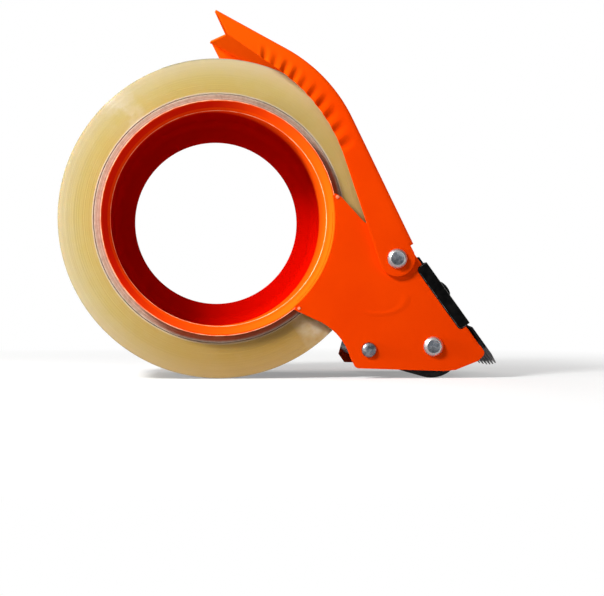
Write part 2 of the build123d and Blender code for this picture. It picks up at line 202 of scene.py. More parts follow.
def new_group(name, kind, outputs, **inputs):
    """Node group with named sockets, its wiring, and the two ends of that."""
    tree = bpy.data.node_groups.new(name, kind)
    rows = [("INPUT", key.replace("_", " "), value) for key, value in inputs.items()]
    for side, label, value in rows + [("OUTPUT", output, None) for output in outputs]:
        socket = tree.interface.new_socket(label, in_out=side, socket_type="NodeSocket" + socket_kind(label, value))
        if value is not None:
            socket.default_value = value
    return tree, Wiring(tree), tree.nodes.new("NodeGroupInput").outputs, tree.nodes.new("NodeGroupOutput").inputs


print("group helper ready")

# %% Edge wear and fine grain
edge_wear_and_highlight, wire, given, result = new_group(
    "edge_wear_and_highlight", "ShaderNodeTree", ("Color", "Mask"), Color=(1, 1, 1, 1), Bare_Color=(0.5, 0.5, 0.5, 1), Amount=0.5,
    Patch_Size=400.0, Cover=0.0)
edge_faces = wire.out("ShaderNodeAttribute", output="Fac", attribute_name="edge")
patches = wire.noise(wire.place(), given["Patch Size"], 3.0)
broken = wire.plus(wire.ramp(patches, [(0.42, 0.0), (0.66, 1.0)]), given["Cover"], clamp=True)
worn = wire.math("MULTIPLY", wire.times(edge_faces, broken), given["Amount"], clamp=True)
wire.feed(result, Color=wire.mix(worn, given["Color"], given["Bare Color"]), Mask=worn)

fine_grain, wire, given, result = new_group(
    "fine_grain", "ShaderNodeTree", ("Roughness", "Height"), Size=800.0, Stretch=(1, 1, 1), Roughness=0.4, Spread=0.1)
grains = wire.noise(wire.vector("MULTIPLY", wire.place(), given["Stretch"]), given["Size"], 4.0)
spread = wire.times(wire.minus(grains, 0.5), given["Spread"])
wire.feed(result, Roughness=wire.plus(given["Roughness"], spread, clamp=True), Height=grains)

print("groups:", edge_wear_and_highlight.name, fine_grain.name)

# %% Dust and wound rings
dust, wire, given, result = new_group(
    "dust", "ShaderNodeTree", ("Color",), Color=(1, 1, 1, 1), Dust_Color=(0.6, 0.57, 0.52, 1), Amount=0.1, Size=120.0)
clouds = wire.noise(wire.place(), given["Size"], 6.0, 0.7)
lying = wire.math("MULTIPLY", wire.ramp(clouds, [(0.45, 0.0), (0.8, 1.0)]), given["Amount"], clamp=True)
wire.feed(result, Color=wire.mix(lying, given["Color"], given["Dust Color"]))

wound_rings, wire, given, result = new_group(
    "wound_rings", "ShaderNodeTree", ("Rings", "Radius"), Layers_per_metre=4000.0, Detail=2.0)
radius = wire.off_axis()
layers = {"W": radius, "Scale": given["Layers per metre"], "Detail": given["Detail"]}
wire.feed(result, Rings=wire.out("ShaderNodeTexNoise", layers, "Fac", noise_dimensions="1D"), Radius=radius)
print("groups:", dust.name, wound_rings.name)

# %% [markdown]
# ## Orange enamel
# The frame, drum and hood are sprayed in a thick orange enamel. Up close such paint has a faint orange-peel ripple.
# Along the pressing's edges it is paler, partly because the paint is thinner there and partly as a painted highlight.
# At the top, over the hood's grip, it is painted lighter: a painted highlight where the light falls more strongly.
# Inside the drum it is painted a deep red that deepens inwards and is darker on the side away from the plate: painted
# shade in the hollow. On the side towards the plate the lip and the first part of the wall are painted a lighter
# orange, and on the other side the lip is painted darker red: painted highlight and painted shade. All of this comes
# from a point's place: its height, its depth, its side and its distance from the drum's axis. A faint curved mark that
# the press left on the near plate is too shallow to model, so it is bump. A clear coat could give gloss, but in the
# photograph the paint keeps its colour right up to its highlights, so one matt layer comes closer.


def finish(name, slot=None, **constants):
    """New material, with its shader's fixed inputs set, its wiring and its inputs; its slot argument is not used."""
    made = bpy.data.materials.new(name)
    made.use_nodes = True
    wiring, sockets = Wiring(made.node_tree), made.node_tree.nodes["Principled BSDF"].inputs
    wiring.feed(sockets, **constants)
    return made, wiring, sockets


print("material helper ready")

# %% Enamel colours
grip_start, grip_end = 36.0, 58.0
hollow_radius, hollow_start, hollow_end = 36.6, -24.0, -19.0
lip_band_radius, lip_depth = 38.3, -23.0
plate_side, side_start, side_end, side_depth = (0.9, 0, -0.45), -20.0, 34.0, 20.0

orange_enamel, wire, surface = finish("orange_enamel", "orange_paint", Specular_IOR_Level=0.0)
place, off_axis = wire.place(), wire.off_axis()
spot = wire.parts(place)
flow = wire.noise(place, 45.0, 3.0)
body_colour = wire.ramp(flow, [(0.3, (0.82, 0.046, 0.0005, 1)), (0.7, (0.88, 0.055, 0.0005, 1))])
# At the top, over the hood's grip, the colour is painted lighter: a painted highlight where the light falls more
# strongly.
grip_highlight = wire.span(spot["Z"], grip_start * MM, grip_end * MM, 0.0, 0.7)
grip_highlight_and_edge_wear = wire.mix(grip_highlight, body_colour, (0.92, 0.105, 0.002, 1))
inside = wire.math("LESS_THAN", off_axis, hollow_radius * MM)
in_front = wire.math("LESS_THAN", spot["Y"], lip_depth * MM)
lip = wire.times(wire.minus(wire.math("LESS_THAN", off_axis, lip_band_radius * MM), inside), in_front)
to_plate = wire.span(wire.vector("DOT_PRODUCT", place, plate_side), side_start * MM, side_end * MM)
# The lip band is painted dark red on the side away from the plate and light orange towards it: painted shade and
# painted highlight.
painted_lip_light = wire.mix(to_plate, (0.76, 0.014, 0.002, 1), (0.95, 0.13, 0.004, 1))
with_painted_lip_light = wire.mix(lip, grip_highlight_and_edge_wear, painted_lip_light)
# The first part of the wall on the side towards the plate is painted light orange: a painted highlight where the light
# falls in.
painted_lit_wall = wire.mix(wire.times(inside, to_plate), with_painted_lip_light, (0.90, 0.105, 0.003, 1))
# Along the edges the enamel is paler: partly thinner paint, partly a painted highlight.
edge_paint_and_highlight = wire.group(edge_wear_and_highlight, Color=painted_lit_wall, Bare_Color=(1.0, 0.52, 0.30, 1), Amount=0.8, Patch_Size=260.0, Cover=0.45)
# Deeper in the drum the colour turns deep red and is darker on the side away from the plate: painted shade in the
# hollow.
depth = wire.minus(spot["Y"], wire.times(to_plate, side_depth * MM))
sunk = wire.span(depth, hollow_start * MM, hollow_end * MM)
painted_hollow_shade = wire.mix(to_plate, (0.42, 0.002, 0.0, 1), (0.57, 0.003, 0.0, 1))
hollow_shade_and_sheet = wire.mix(wire.times(inside, sunk), edge_paint_and_highlight["Color"], painted_hollow_shade)
print("enamel colours:", len(wire.tree.nodes), "nodes")

# %% Enamel relief
mark_middle, mark_width, mark_height, mark_rise = Vector((52.8, 0, -26.6)), 9.0, 5.0, 3.0
mark_scale = (1 / (mark_width * MM), 0, 1 / (mark_height * MM))
from_mark = wire.vector("MULTIPLY", wire.vector("SUBTRACT", place, mark_middle * MM), mark_scale)
off_mark = wire.math("ABSOLUTE", wire.minus(wire.vector("LENGTH", from_mark), 1.0))
crease = wire.span(off_mark, 0.24, 0.0, interpolation_type="SMOOTHSTEP")
pressed_half = wire.span(wire.vector("DOT_PRODUCT", from_mark, (0.5, 0, -1)), 0.0, 0.5)
press_mark = wire.times(crease, pressed_half, in_front, mark_rise)
peel = wire.group(fine_grain, Size=700.0, Roughness=0.45, Spread=0.12)
wire.feed(surface, Base_Color=hollow_shade_and_sheet, Roughness=peel["Roughness"],
          Normal=wire.bump(wire.plus(peel["Height"], press_mark), 0.03))
print("enamel with relief:", len(wire.tree.nodes), "nodes")

# %% [markdown]
# ## Metal finishes
# Rivets and axles are bright zinc plate, dull and mottled where they were set, with a pale rim round each head that is
# partly wear and partly a painted highlight. The clamp is black oxide, worn to steel on its edges. The blade is
# darkened spring steel whose toothed edge was ground after hardening, so the last millimetres are bare and carry
# scratches across the edge. Part of each tooth's width is painted dark, a painted shade between one tooth and the
# next. All three take the shared grain, and zinc and oxide the shared wear and dust as well, each with its own values.


# %% Grain helper and zinc
def grained(wiring, sockets, bump_depth, **values):
    """Takes a surface's roughness and bump from the fine grain."""
    grain = wiring.group(fine_grain, **values)
    wiring.feed(sockets, Roughness=grain["Roughness"], Normal=wiring.bump(grain["Height"], bump_depth))
    return grain


zinc_plate, wire, surface = finish("zinc_plate", "zinc_steel", Metallic=1.0)
spangle = wire.out("ShaderNodeTexVoronoi", {"Vector": wire.place(), "Scale": 900.0}, "Color")
spangle_grey = wire.out("ShaderNodeRGBToBW", {0: spangle})
plated = wire.ramp(spangle_grey, [(0.2, (0.28, 0.31, 0.36, 1)), (0.8, (0.56, 0.59, 0.64, 1))])
handled = wire.group(dust, Color=plated, Dust_Color=(0.12, 0.12, 0.13, 1), Amount=0.6, Size=700.0)
# Pale rim on the marked faces: partly worn plating, partly a painted highlight ring.
rim_wear_and_highlight = wire.group(edge_wear_and_highlight, Color=handled["Color"], Bare_Color=(0.92, 0.91, 0.89, 1), Amount=1.0, Patch_Size=90.0,
                    Cover=0.6)
wire.feed(surface, Base_Color=rim_wear_and_highlight["Color"])
grained(wire, surface, 0.02, Size=1500.0, Roughness=0.3, Spread=0.25)
print(zinc_plate.name, len(wire.tree.nodes), "nodes")

# %% Black oxide
black_oxide, wire, surface = finish("black_oxide", "black_steel", Specular_IOR_Level=0.02)
soot = wire.noise(wire.place(), 160.0, 4.0)
oxide_colour = wire.ramp(soot, [(0.3, (0.002, 0.002, 0.002, 1)), (0.75, (0.005, 0.005, 0.005, 1))])
grip_highlight_and_edge_wear = wire.group(edge_wear_and_highlight, Color=oxide_colour, Bare_Color=(0.34, 0.33, 0.32, 1), Amount=0.5, Patch_Size=500.0)
dusty = wire.group(dust, Color=grip_highlight_and_edge_wear["Color"], Amount=0.015, Size=260.0)
wire.feed(surface, Base_Color=dusty["Color"], Metallic=grip_highlight_and_edge_wear["Mask"])
grained(wire, surface, 0.02, Size=1100.0, Roughness=0.5, Spread=0.2)
print(black_oxide.name, len(wire.tree.nodes), "nodes")

# %% Blade steel
front_slope = radians(54.1)
down_slope = Vector((cos(front_slope), 0, -sin(front_slope)))
out_of_slope = Vector((sin(front_slope), 0, cos(front_slope)))
grind_start, half_tooth = 87.2, 5.75 / 2

blade_steel, wire, surface = finish("blade_steel", "blade_steel", Specular_IOR_Level=0.1)
place = wire.place()
ground = wire.span(wire.vector("DOT_PRODUCT", place, down_slope), (grind_start - 0.4) * MM, grind_start * MM)
blued = wire.ramp(wire.noise(place, 130.0), [(0.3, (0.004, 0.004, 0.005, 1)), (0.7, (0.012, 0.012, 0.013, 1))])
scratches = grained(wire, surface, 0.015, Size=260.0, Stretch=(1, 14, 1), Roughness=0.34, Spread=0.3)
bright = wire.ramp(scratches["Height"], [(0.35, (0.30, 0.29, 0.30, 1)), (0.65, (0.58, 0.57, 0.57, 1))])
# Part of each tooth's width is painted dark: a painted shade between one tooth and the next.
off_tooth = wire.math("PINGPONG", wire.parts(place)["Y"], half_tooth * MM)
tooth_gap_shade = wire.span(wire.math("DIVIDE", off_tooth, half_tooth * MM), 0.3, 0.8, 0.0, 0.85)
with_tooth_gap_shade = wire.mix(tooth_gap_shade, bright, (0.06, 0.06, 0.065, 1))
wire.feed(surface, Base_Color=wire.mix(ground, blued, with_tooth_gap_shade), Metallic=wire.times(ground, 0.55))
print(blade_steel.name, len(wire.tree.nodes), "nodes")

# %% [markdown]
# ## Rubber, nylon, cardboard and tape
# The press roller wears a black rubber sleeve and turns on bushes of natural nylon. The core is wound grey board, so
# its end shows plies as rings, and on one side, next to the lip, it is painted a dark reddish brown: a painted shadow
# of the lip, with the orange light that the lip throws back. The tape is clear film: seen on edge, hundreds of layers
# add up to a pale amber that deepens towards the core. Towards one side it is painted darker and browner, a painted
# shade where less light comes through the roll. It has fine winding rings and, on two opposite sides, a hazy pale
# band: a painted sheen where the light catches the layers. Both wound materials use the same ring group, which makes
# one-dimensional noise over the distance from the axis. The painted sheen comes from the angle round the axis, doubled
# so that one wave marks both sides.

# %% Rubber and nylon
black_rubber, wire, surface = finish("black_rubber", "black_rubber", Specular_IOR_Level=0.35)
worn_rubber = wire.group(dust, Color=(0.016, 0.016, 0.017, 1), Dust_Color=(0.22, 0.21, 0.19, 1), Amount=0.25,
                         Size=420.0)
wire.feed(surface, Base_Color=worn_rubber["Color"])
grained(wire, surface, 0.04, Size=1400.0, Roughness=0.72, Spread=0.2)

natural_nylon, wire, surface = finish("natural_nylon", "white_nylon", Subsurface_Weight=0.15,
                                      Subsurface_Scale=1.5 * MM)
rubbed_nylon = wire.group(dust, Color=(0.70, 0.68, 0.62, 1), Dust_Color=(0.35, 0.31, 0.25, 1), Amount=0.3, Size=260.0)
wire.feed(surface, Base_Color=rubbed_nylon["Color"])
grained(wire, surface, 0.03, Size=300.0, Stretch=(1, 9, 1), Roughness=0.45, Spread=0.2)
print(black_rubber.name, "and", natural_nylon.name)

# %% Cardboard
wound_board, wire, surface = finish("wound_board", "cardboard", Roughness=0.85, Specular_IOR_Level=0.2)
plies = wire.group(wound_rings, Layers_per_metre=2600.0, Detail=2.0)
fibres = wire.group(fine_grain, Size=900.0, Roughness=0.8, Spread=0.2)
board_colour = wire.ramp(plies["Rings"], [(0.3, (0.34, 0.24, 0.17, 1)), (0.55, (0.48, 0.38, 0.29, 1)),
                                          (0.75, (0.60, 0.51, 0.42, 1))])
dusty = wire.group(dust, Color=board_colour, Dust_Color=(0.16, 0.10, 0.07, 1), Amount=0.7, Size=700.0)
# Next to the lip, on one side, the board is painted dark reddish brown: a painted shadow of the lip, with the orange
# light it throws back.
lip_shadow_band = wire.span(plies["Radius"], 41.0 * MM, 40.2 * MM)
to_shadowed_side = wire.vector("DOT_PRODUCT", wire.place(), (0.7, 0, -0.7))
painted_lip_shadow = wire.times(lip_shadow_band, wire.span(to_shadowed_side, 4 * MM, 18 * MM, 0.15, 0.9))
wire.feed(surface, Base_Color=wire.mix(painted_lip_shadow, dusty["Color"], (0.36, 0.055, 0.010, 1)),
          Normal=wire.bump(fibres["Height"], 0.08))
print(wound_board.name, len(wire.tree.nodes), "nodes")

# %% Tape
core_radius, rim_radius = 41.1, 52.97
highlight_angle = radians(132)
amber_tape, wire, surface = finish("amber_tape", "clear_tape", Subsurface_Weight=0.3, Subsurface_Scale=3 * MM,
                                   Subsurface_Radius=(1.0, 0.7, 0.3))
wound = wire.group(wound_rings, Layers_per_metre=2200.0, Detail=4.0)
outward = wire.span(wound["Radius"], core_radius * MM, rim_radius * MM)
depth_colour = wire.ramp(outward, [(0.0, (0.62, 0.54, 0.42, 1)), (0.035, (0.60, 0.52, 0.38, 1)),
                                   (0.07, (0.50, 0.37, 0.10, 1)), (0.45, (0.52, 0.40, 0.13, 1)),
                                   (0.95, (0.58, 0.48, 0.27, 1)), (1.0, (0.36, 0.33, 0.24, 1))])
ring_tint = wire.ramp(wound["Rings"], [(0.35, 0.96), (0.7, 1.0)])
ringed = wire.mix(1.0, depth_colour, ring_tint, blend_type="MULTIPLY")
smeared = wire.group(dust, Color=ringed, Dust_Color=(0.62, 0.54, 0.36, 1), Amount=0.25, Size=60.0)
place = wire.place()
spot = wire.parts(place)
# Towards one side the tape is painted darker and browner: a painted shade where less light comes through the roll.
shaded_side = wire.span(wire.vector("DOT_PRODUCT", place, (0.45, 0, -0.9)), 5 * MM, 50 * MM)
with_painted_shade = wire.mix(shaded_side, smeared["Color"], (0.80, 0.60, 0.36, 1), blend_type="MULTIPLY")
# On two opposite sides a hazy pale band is painted: a painted sheen where the light catches the layers.
off_highlight = wire.minus(wire.math("ARCTAN2", spot["Z"], spot["X"]), highlight_angle)
sheen_band = wire.span(wire.math("COSINE", wire.times(off_highlight, 2.0)), 0.96, 1.0)
painted_sheen = wire.times(sheen_band, wire.ramp(wire.noise(place, 170.0, 3.0), [(0.38, 0.0), (0.72, 0.7)]))
film = wire.group(fine_grain, Size=500.0, Roughness=0.34, Spread=0.2)
wire.feed(surface, Base_Color=wire.mix(painted_sheen, with_painted_shade, (0.70, 0.63, 0.50, 1)), Roughness=film["Roughness"],
          Normal=wire.bump(wound["Rings"], 0.05))
print("materials:", len(bpy.data.materials))

# %% [markdown]
# ## Making and placing pieces
# Most pieces here are either turned, so they come from an outline spun about an axis, or pressed from sheet, so the
# CAD mesh is copied, merged and given the small rounding that real cut edges have. The rounded faces are marked in the
# edge attribute for the wear group, which on the enamel also paints a pale highlight along them. Placing a piece gives
# it its finish, lets it ride on its body and hides the CAD node that it stands for.


# %% Placing a piece
sharp_angle = radians(35)


def smooth(mesh):
    mesh.shade_smooth()
    mesh.set_sharp_from_angle(angle=sharp_angle)


def piece_from(name, bm):
    mesh = bpy.data.meshes.new(name)
    bm.to_mesh(mesh)
    bm.free()
    smooth(mesh)
    made = bpy.data.objects.new(name, mesh)
    scene.collection.objects.link(made)
    return made


def place_piece(piece, body, material, *nodes):
    piece.data.materials.clear()
    piece.data.materials.append(material)
    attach(piece, body)
    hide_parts(*nodes)
    print(f"{piece.name}: {len(piece.data.polygons)} faces on {body}")


print("pieces keep edges sharper than", round(degrees(sharp_angle)), "degrees")


# %% Spun pieces
def rounded(points, radii, steps=5):
    """Outline through points, with a corner of the given radius at each (0 keeps it sharp)."""
    outline = []
    for i, (corner, radius) in enumerate(zip(points, radii)):
        here = Vector(corner)
        if not radius:
            outline.append(here)
            continue
        back = (Vector(points[i - 1]) - here).normalized()
        ahead = (Vector(points[(i + 1) % len(points)]) - here).normalized()
        half = back.angle(ahead) / 2
        centre = here + (back + ahead).normalized() * radius / sin(half)
        first, last = here + back * radius / tan(half) - centre, here + ahead * radius / tan(half) - centre
        sweep = first.angle_signed(last)
        start = atan2(first.y, first.x)
        for k in range(steps + 1):
            turn = start - sweep * k / steps
            outline.append(centre + radius * Vector((cos(turn), sin(turn))))
    return outline


def ring_outline(inner, outer, low, high, radii, steps):
    """Section of a ring between two radii and two depths."""
    return rounded([(inner, low), (outer, low), (outer, high), (inner, high)], radii, steps)


def round_axis(radius, y, angle, centre=(0, 0)):
    """Point at a radius, depth and angle from a line along Y."""
    return (centre[0] + radius * cos(angle)) * MM, y * MM, (centre[1] + radius * sin(angle)) * MM


def skin(bm, rows, looped=False, flip=False):
    """Joins each row of points to the next with faces, and gives back each face with its place in the row."""
    made = []
    for here, after in zip(rows, rows[1:]):
        for k in range(len(here) if looped else len(here) - 1):
            n = (k + 1) % len(here)
            corners = (here[k], here[n], after[n], after[k])
            made.append((k, bm.faces.new(corners[::-1] if flip else corners)))
    return made


def turned(name, outline, centre=(0, 0), segments=128, closed=True, edges=()):
    """Spins a (radius, depth) outline about a line along Y, and marks the given outline steps as edges."""
    bm = bmesh.new()
    mark = bm.faces.layers.float.new("edge")
    turns = [2 * pi * s / segments for s in range(segments)]
    columns = [[bm.verts.new(round_axis(r, y, turn, centre)) for r, y in outline] for turn in turns]
    for k, face in skin(bm, columns + columns[:1], closed):
        face[mark] = 1.0 if k in edges else 0.0
    bmesh.ops.remove_doubles(bm, verts=bm.verts, dist=1e-7)
    bmesh.ops.recalc_face_normals(bm, faces=bm.faces)
    return piece_from(name, bm)


print("outline and spinning helpers ready")


# %% Pressed pieces
def pressed(name, cad_node, rounding):
    """Copy of a CAD node's mesh with its cut edges rounded and marked as edge faces, for wear and, on the enamel, a
    painted highlight.
    """
    bm = bmesh.new()
    bm.from_mesh(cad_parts[cad_node].data)
    bmesh.ops.remove_doubles(bm, verts=bm.verts, dist=1e-6)
    bmesh.ops.dissolve_limit(bm, angle_limit=radians(0.2), verts=bm.verts, edges=bm.edges)
    mark = bm.faces.layers.float.new("edge")
    cut = [e for e in bm.edges if len(e.link_faces) == 2 and e.calc_face_angle() > sharp_angle]
    made = bmesh.ops.bevel(bm, geom=cut, offset=rounding * MM, segments=2, profile=0.5, affect="EDGES",
                           clamp_overlap=True)
    for face in made["faces"]:
        face[mark] = 1.0
    piece = piece_from(name, bm)
    if "custom_normal" in piece.data.attributes:
        piece.data.attributes.remove(piece.data.attributes["custom_normal"])
    keep_flat(piece)
    return piece


def keep_flat(piece):
    """Gives large faces the say over shading, so that a small rounding beside them doesn't bend their light."""
    flatten = piece.modifiers.new("flat_faces_stay_flat", "WEIGHTED_NORMAL")
    flatten.weight, flatten.keep_sharp = 100, True
    settle(piece)


def settle(piece):
    """Turns a piece's modifiers into plain mesh."""
    bpy.context.view_layer.update()
    solved = piece.evaluated_get(bpy.context.evaluated_depsgraph_get())
    mesh = bpy.data.meshes.new_from_object(solved)
    piece.modifiers.clear()
    piece.data = mesh


print("pressing helpers ready")

# %% [markdown]
# ## Frame, blade and clamp
# These are flat pressings with exact outlines, so the CAD already has their shape. Only the edges change: a sheared
# and painted edge is never knife sharp. Its small radius, together with the pale colour painted on it (partly wear,
# partly a painted highlight), draws the thin bright line round the plate. Where the plate meets the drum's lip, its
# edge is filled and painted over, so the edge mark is taken off there.

# %% Frame, blade and clamp
plates = pressed("frame_plates", "frame", 0.3)
filled_radius = 40.3
edge_marks = plates.data.attributes["edge"].data
for face in plates.data.polygons:
    if Vector((face.center.x, face.center.z)).length < filled_radius * MM:
        edge_marks[face.index].value = 0.0
place_piece(plates, "frame", orange_enamel, "frame")
place_piece(pressed("toothed_blade", "blade", 0.05), "frame", blade_steel, "blade")
place_piece(pressed("clamp_channel", "blade_clamp", 0.22), "frame", black_oxide, "blade_clamp")

# %% [markdown]
# ## Drum
# The drum is drawn from a disc of sheet: a flared lip, a straight wall, a rounded corner and a flat floor with the
# finger hole. It could keep the CAD mesh, but its facets would show on so large a curve, so the same section is spun
# again in 192 steps. The tab that is welded behind the near plate is an arc of ring, copied from its radii, and a
# second, narrow arc is the seam between lip and plate, run full of weld and paint.

# %% Drum and weld tab
plate_outer, plate_inner = 27.2, 26.0
lip_radius, wall_radius, sheet = 38.9, 35.6, 1.0
hole_radius, drum_depth = 28.2, 32.0
flare = lip_radius - wall_radius
lip_y, floor_y = -plate_outer, drum_depth - plate_outer
drum_outline = rounded(
    [(lip_radius, lip_y), (wall_radius, lip_y + flare), (wall_radius, floor_y - sheet), (hole_radius, floor_y - sheet),
     (hole_radius, floor_y), (wall_radius + sheet, floor_y), (wall_radius + sheet, lip_y + flare + 0.414 * sheet),
     (lip_radius, lip_y + 1.414 * sheet)],
    [0.18, 0.6, 3.0, 0.3, 0.3, 4.0, 1.45, 0.4],
)
corner_points = 6
# The lip's outer rounding and its rounding into the wall are marked as edge faces, so the enamel paints them pale:
# partly thin paint, partly a painted highlight line.
drum_edges = [k for corner in (0, 1) for k in range(corner * corner_points, (corner + 1) * corner_points - 1)]
drum = turned("drawn_drum", drum_outline, segments=192, edges=drum_edges)
keep_flat(drum)
place_piece(drum, "frame", orange_enamel, "roll_drum")


def arc_strip(name, inner, outer, start, stop, y_low, y_high, steps=48):
    """Flat arc of ring between two radii, two angles and two depths."""
    bm = bmesh.new()
    section = ((inner, y_low), (outer, y_low), (outer, y_high), (inner, y_high))
    turns = [radians(start + (stop - start) * k / steps) for k in range(steps + 1)]
    columns = [[bm.verts.new(round_axis(r, y, turn)) for r, y in section] for turn in turns]
    skin(bm, columns, looped=True)
    bm.faces.new(columns[0])
    bm.faces.new(columns[-1])
    bmesh.ops.recalc_face_normals(bm, faces=bm.faces)
    return piece_from(name, bm)


arc_start, arc_stop = -50.8, 12.5
tab = arc_strip("drum_weld_tab", 37.5, 44.5, arc_start + 4, arc_stop - 9, -plate_inner, sheet - plate_inner)
place_piece(tab, "frame", orange_enamel, "roll_drum")
seam = arc_strip("filled_seam", lip_radius - 0.9, lip_radius + 0.15, arc_start + 1, arc_stop - 1, 0.05 - plate_outer,
                 0.9 - plate_outer)
place_piece(seam, "frame", orange_enamel, "drum_welds")

# %% [markdown]
# ## Weld beads
# Where the near plate's two corners meet the lip, a blob of weld shows under the paint. A blob is not a clean dome,
# so the bead is a spun cap whose points are pushed about by noise.


# %% Weld beads
def weld_bead(name, centre, width, height, seed):
    outline = [(width * sin(a), -plate_outer - height * cos(a)) for a in (radians(d) for d in range(0, 91, 10))]
    outline += [(width, -plate_outer + 0.3), (0, -plate_outer + 0.3)]
    # The faces round the cap's top are marked as edge faces, so the enamel paints a pale spot there: a painted
    # highlight.
    bead = turned(name, outline, centre, segments=32, closed=False, edges=range(5))
    for vertex in bead.data.vertices:
        lump = noise.noise(vertex.co / (0.9 * MM) + Vector((seed, seed, seed)))
        offset = Vector((vertex.co.x - centre[0] * MM, 0, vertex.co.z - centre[1] * MM))
        vertex.co += offset * 0.3 * lump
    return bead


bead_radius, bead_width, bead_height, bead_seed = lip_radius + 0.72, 0.75, 0.2, 3.7
for index, angle in enumerate((arc_start + 2.2, arc_stop - 2.2)):
    spot = (bead_radius * cos(radians(angle)), bead_radius * sin(radians(angle)))
    bead = weld_bead(f"weld_bead_{index + 1}", spot, bead_width, bead_height, bead_seed * (index + 1))
    place_piece(bead, "frame", orange_enamel, "drum_welds")

# %% [markdown]
# ## Hood
# The hood is one strip of sheet bent over the roll, with both edges folded down into flanges that end in lugs round
# the hinge rivets. Its free end is cut to a swallow tail. It is built as rows of points that run from one flange's
# free edge, over the fold, across the strip and down the other flange, and the rows follow the bend. Where the strip
# bends, the flange has to shrink, and the press gathers it into a row of crimps.

# %% Hood lines in the side view
hood_half, hood_sheet, fold_round = 28.4, 0.8, 1.1
grip_out = Vector((sin(radians(27.9)), cos(radians(27.9))))
leg_out = Vector((cos(radians(26.1)), sin(radians(26.1))))
grip_distance, leg_distance, bend_radius = 59.8, 54.15, 51.0
hinge = Vector((58.8, -13.2))
lug_radius, lug_start, lug_sweep, lug_inset, tail_notch = 6.0, 195, 185, 1.28, 5.5


def where_lines_cross(inset):
    a, b = grip_distance - inset, leg_distance - inset
    det = grip_out.cross(leg_out)
    return Vector(((a * leg_out.y - grip_out.y * b) / det, (grip_out.x * b - a * leg_out.x) / det))


def on_line(out, distance, x):
    return Vector((x, (distance - out.x * x) / out.y))


def on_lug(angle):
    return hinge + lug_radius * Vector((cos(radians(angle)), sin(radians(angle))))


def through_three(a, b, c):
    """Centre of the circle through three points."""
    d = 2 * (a.x * (b.y - c.y) + b.x * (c.y - a.y) + c.x * (a.y - b.y))
    squares = [p.length_squared for p in (a, b, c)]
    x = squares[0] * (b.y - c.y) + squares[1] * (c.y - a.y) + squares[2] * (a.y - b.y)
    y = squares[0] * (c.x - b.x) + squares[1] * (a.x - c.x) + squares[2] * (b.x - a.x)
    return Vector((x / d, y / d))


def arc_between(centre, first, last, share):
    """Point a share of the way along the short arc from first to last."""
    start, sweep = first - centre, (first - centre).angle_signed(last - centre)
    turn = atan2(start.y, start.x) - sweep * share
    return centre + start.length * Vector((cos(turn), sin(turn)))


bend_centre = where_lines_cross(bend_radius)
bend_start, bend_stop = bend_centre + bend_radius * grip_out, bend_centre + bend_radius * leg_out
strip_tip, strip_end = on_line(grip_out, grip_distance, -1.4), on_line(leg_out, leg_distance, 64.35)
flange_tip, flange_bend = Vector((2.75, 60.2)), Vector((19.5, 48.9))
flange_middle, flange_knee, flange_foot = Vector((33.6, 35.2)), Vector((41.3, 20.2)), Vector((48.35, -0.6))
flange_centre = through_three(flange_bend, flange_middle, flange_knee)
for arc, middle in (("bend", bend_centre), ("flange arc", flange_centre)):
    print(arc, "centre", tuple(round(v, 2) for v in middle))

# %% Hood rows
grip_rows, bend_rows, leg_rows, lug_rows = 50, 150, 30, 18
flange_columns, fold_columns, strip_columns = 12, 4, 20


def leg_edge(share):
    """Point on the flange's free edge below the bend, from its knee to the lug."""
    lug_point = on_lug(lug_start)
    first, second = (flange_foot - flange_knee).length, (lug_point - flange_foot).length
    run = share * (first + second)
    if run < first:
        return flange_knee.lerp(flange_foot, run / first)
    return flange_foot.lerp(lug_point, (run - first) / second)


def strip_over(edge):
    """Point of the strip's outer face straight over a flange point, seen from the drum's axis."""
    way = edge.normalized()
    if way.cross(bend_start) < 0:
        return way * grip_distance / way.dot(grip_out)
    if way.cross(bend_stop) > 0:
        return way * leg_distance / way.dot(leg_out)
    along = way.dot(bend_centre)
    return way * (along + (along ** 2 - bend_centre.length_squared + bend_radius ** 2) ** 0.5)


rails = [(strip_tip.lerp(strip_over(flange_bend), k / grip_rows), flange_tip.lerp(flange_bend, k / grip_rows))
         for k in range(grip_rows)]
bend_edges = [arc_between(flange_centre, flange_bend, flange_knee, k / bend_rows) for k in range(bend_rows)]
rails += [(strip_over(edge), edge) for edge in bend_edges]
rails += [(strip_over(flange_knee).lerp(strip_end, k / leg_rows), leg_edge(k / leg_rows)) for k in range(leg_rows + 1)]
lug_top, lug_end = strip_end - lug_inset * leg_out, on_lug(lug_start + lug_sweep)
lug_rails = [(lug_top.lerp(lug_end, k / lug_rows), on_lug(lug_start + lug_sweep * k / lug_rows))
             for k in range(1, lug_rows + 1)]
print(len(rails), "rows over the strip and", len(lug_rails), "round each lug")

# %% Hood mesh
bm = bmesh.new()
hub_angle = bm.verts.layers.float.new("hub_angle")
reach = bm.verts.layers.float.new("crimp_reach")
side_sign = bm.verts.layers.float.new("crimp_side")


def hood_point(flat, y, angle, share, side):
    vertex = bm.verts.new((flat.x * MM, y * MM, flat.y * MM))
    vertex[hub_angle], vertex[side_sign] = angle, side
    vertex[reach] = max(0.0, (share - 0.4) / 0.6) ** 0.8
    return vertex


def flange_points(top, edge, side, first_share):
    angle = degrees(atan2(edge.y, edge.x))
    shares = [1 - (1 - first_share) * k / (flange_columns - 1) for k in range(flange_columns)]
    return [hood_point(top.lerp(edge, s), side * hood_half, angle, s, side) for s in shares]


